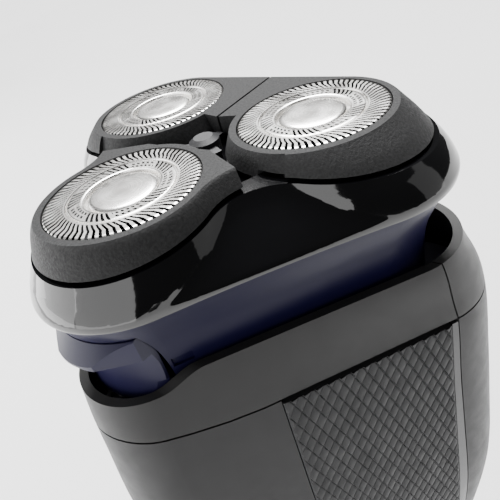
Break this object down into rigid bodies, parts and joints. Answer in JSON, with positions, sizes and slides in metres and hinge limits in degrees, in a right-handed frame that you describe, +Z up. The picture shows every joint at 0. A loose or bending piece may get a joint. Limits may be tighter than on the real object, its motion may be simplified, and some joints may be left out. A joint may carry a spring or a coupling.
{
  "type": "rotary electric shaver",
  "caption": "Cordless rotary shaver: floating round cutters on a flip-open triangular head, contoured handle with side grips and a pop-up trimmer.",
  "frame": {"origin": "centre of the foot's footprint box, on the plane the shaver stands on", "axes": "+Z up the handle to the cutting head, -Y the front with the release button, X across the width"},
  "size_m": [0.0704, 0.0604, 0.16],
  "materials": {
    "holder_grey": "fine texture",
    "steel": "turned",
    "cutter_steel": "brushed in rings",
    "inner_steel": "ground",
    "gear_white": "moulded",
    "grip_rubber": "scale pattern",
    "strip_black": "gloss",
    "cell_green": "printed sleeve",
    "shell_black": "high gloss",
    "hub_black": "moulded",
    "frame_grey": "moulded",
    "wheel_blue": "moulded",
    "indigo_button": "satin",
    "indigo": "satin",
    "collar_grey": "satin",
    "body_grey": "satin",
    "foot_black": "moulded",
    "inlet_black": "moulded",
    "contact_brass": "plated",
    "seal_rubber": "soft",
    "motor_steel": "drawn",
    "board_green": "coated",
    "component_black": "moulded",
    "slider_grey": "satin",
    "lens_green": "clear",
    "trimmer_grey": "satin"
  },
  "bodies": {
    "handle": {"collar": "collar_grey", "back_collar": "collar_grey", "front_shell": "body_grey", "back_shell": "body_grey", "base_cap": "foot_black", "power_inlet": "inlet_black", "inlet_pins": "contact_brass", "grip_pad_left": "grip_rubber", "grip_pad_right": "grip_rubber", "trim_strip_left": "strip_black", "trim_strip_right": "strip_black", "hair_chamber": "indigo", "hinge_pin": "steel", "top_deck": "frame_grey", "spindle_seals": "seal_rubber", "gear_plate": "frame_grey", "plate_screws": "steel", "motor_can": "motor_steel", "chassis": "frame_grey", "battery_left": "cell_green", "battery_right": "cell_green", "cell_contacts": "contact_brass", "circuit_board": "board_green", "board_components": "component_black", "slide_switch": "component_black", "led_lens": "lens_green", "trimmer_bay": "frame_grey", "trimmer_pin": "steel"},
    "button": {"release_button": "indigo_button"},
    "power_slider": {"switch_slider": "slider_grey"},
    "pinion": {"motor_pinion": "steel"},
    "head": {"head_shell": "shell_black", "centre_hub": "hub_black", "retaining_frame": "frame_grey", "holder_pin_front": "steel", "holder_pin_right": "steel", "holder_pin_left": "steel"},
    "frame_lock": {"lock_wheel": "wheel_blue"},
    "trimmer": {"trimmer_housing": "trimmer_grey", "trimmer_comb": "cutter_steel"},
    "trimmer_cutter": {"trimmer_blade": "inner_steel"},
    "trimmer_catch": {"trimmer_slide": "slider_grey"},
    "holder_front": {"cutter_holder_front": "holder_grey"},
    "cap_front": {"slotted_cap_front": "cutter_steel"},
    "cutter_front": {"inner_cutter_front": "inner_steel"},
    "drive_front": {"drive_gear_front": "gear_white", "drive_spindle_front": "steel"},
    "holder_right": {"cutter_holder_right": "holder_grey"},
    "cap_right": {"slotted_cap_right": "cutter_steel"},
    "cutter_right": {"inner_cutter_right": "inner_steel"},
    "drive_right": {"drive_gear_right": "gear_white", "drive_spindle_right": "steel"},
    "holder_left": {"cutter_holder_left": "holder_grey"},
    "cap_left": {"slotted_cap_left": "cutter_steel"},
    "cutter_left": {"inner_cutter_left": "inner_steel"},
    "drive_left": {"drive_gear_left": "gear_white", "drive_spindle_left": "steel"}
  },
  "joints": [
    {"name": "button_press", "type": "slide", "parent": "handle", "child": "button", "axis": [0, 1, 0], "range_m": [0, 0.001], "stiffness_N_per_m": 600, "springref_m": -0.0005},
    {"name": "power_switch", "type": "slide", "parent": "handle", "child": "power_slider", "axis": [0, 0, 1], "range_m": [0, 0.0045]},
    {"name": "head_flip", "type": "hinge", "parent": "handle", "child": "head", "pos_m": [0, 0.0176, 0.1494], "axis": [-1, 0, 0], "range_deg": [0, 100]},
    {"name": "lock_turn", "type": "hinge", "parent": "head", "child": "frame_lock", "pos_m": [0, 0.0007, 0.152], "axis": [0, 0, 1], "range_deg": [0, 90]},
    {"name": "holder_tilt_front", "type": "hinge", "parent": "head", "child": "holder_front", "pos_m": [0, -0.0262, 0.1551], "axis": [-1, 0, 0], "range_deg": [0, 1.2], "stiffness_Nm_per_rad": 0.2, "springref_deg": -1.15},
    {"name": "cap_float_front", "type": "slide", "parent": "holder_front", "child": "cap_front", "axis": [0, 0, -1], "range_m": [0, 0.0005], "stiffness_N_per_m": 600, "springref_m": -0.0004},
    {"name": "cutter_spin_front", "type": "hinge", "parent": "cap_front", "child": "cutter_front", "pos_m": [0, -0.0148, 0.156], "axis": [0, 0, 1], "continuous": true},
    {"name": "drive_spin_front", "type": "hinge", "parent": "handle", "child": "drive_front", "pos_m": [0, -0.0148, 0.124], "axis": [0, 0, 1], "continuous": true},
    {"name": "holder_tilt_right", "type": "hinge", "parent": "head", "child": "holder_right", "pos_m": [0.02426, 0.01231, 0.1551], "axis": [0.4317, -0.902, 0], "range_deg": [0, 1.2], "stiffness_Nm_per_rad": 0.2, "springref_deg": -1.15},
    {"name": "cap_float_right", "type": "slide", "parent": "holder_right", "child": "cap_right", "axis": [0, 0, -1], "range_m": [0, 0.0005], "stiffness_N_per_m": 600, "springref_m": -0.0004},
    {"name": "cutter_spin_right", "type": "hinge", "parent": "cap_right", "child": "cutter_right", "pos_m": [0.014, 0.0074, 0.156], "axis": [0, 0, 1], "continuous": true},
    {"name": "drive_spin_right", "type": "hinge", "parent": "handle", "child": "drive_right", "pos_m": [0.014, 0.0074, 0.124], "axis": [0, 0, 1], "continuous": true},
    {"name": "holder_tilt_left", "type": "hinge", "parent": "head", "child": "holder_left", "pos_m": [-0.02426, 0.01231, 0.1551], "axis": [0.4317, 0.902, 0], "range_deg": [0, 1.2], "stiffness_Nm_per_rad": 0.2, "springref_deg": -1.15},
    {"name": "cap_float_left", "type": "slide", "parent": "holder_left", "child": "cap_left", "axis": [0, 0, -1], "range_m": [0, 0.0005], "stiffness_N_per_m": 600, "springref_m": -0.0004},
    {"name": "cutter_spin_left", "type": "hinge", "parent": "cap_left", "child": "cutter_left", "pos_m": [-0.014, 0.0074, 0.156], "axis": [0, 0, 1], "continuous": true},
    {"name": "drive_spin_left", "type": "hinge", "parent": "handle", "child": "drive_left", "pos_m": [-0.014, 0.0074, 0.124], "axis": [0, 0, 1], "continuous": true},
    {"name": "pinion_spin", "type": "hinge", "parent": "handle", "child": "pinion", "pos_m": [0, 0.0007, 0.124], "axis": [0, 0, 1], "continuous": true},
    {"name": "trimmer_fold", "type": "hinge", "parent": "handle", "child": "trimmer", "pos_m": [0, 0.0199, 0.09], "axis": [-1, 0, 0], "range_deg": [0, 90]},
    {"name": "trimmer_stroke", "type": "slide", "parent": "trimmer", "child": "trimmer_cutter", "axis": [1, 0, 0], "range_m": [-0.0005, 0.0005]},
    {"name": "catch_slide", "type": "slide", "parent": "handle", "child": "trimmer_catch", "axis": [0, 0, 1], "range_m": [0, 0.003], "stiffness_N_per_m": 60, "springref_m": -0.001}
  ],
  "couplings": [
    {"joint": "cutter_spin_front", "follows": "drive_spin_front", "ratio": 1},
    {"joint": "cutter_spin_right", "follows": "drive_spin_front", "ratio": 1},
    {"joint": "drive_spin_right", "follows": "drive_spin_front", "ratio": 1},
    {"joint": "cutter_spin_left", "follows": "drive_spin_front", "ratio": 1},
    {"joint": "drive_spin_left", "follows": "drive_spin_front", "ratio": 1},
    {"joint": "pinion_spin", "follows": "drive_spin_front", "ratio": -2.1}
  ]
}
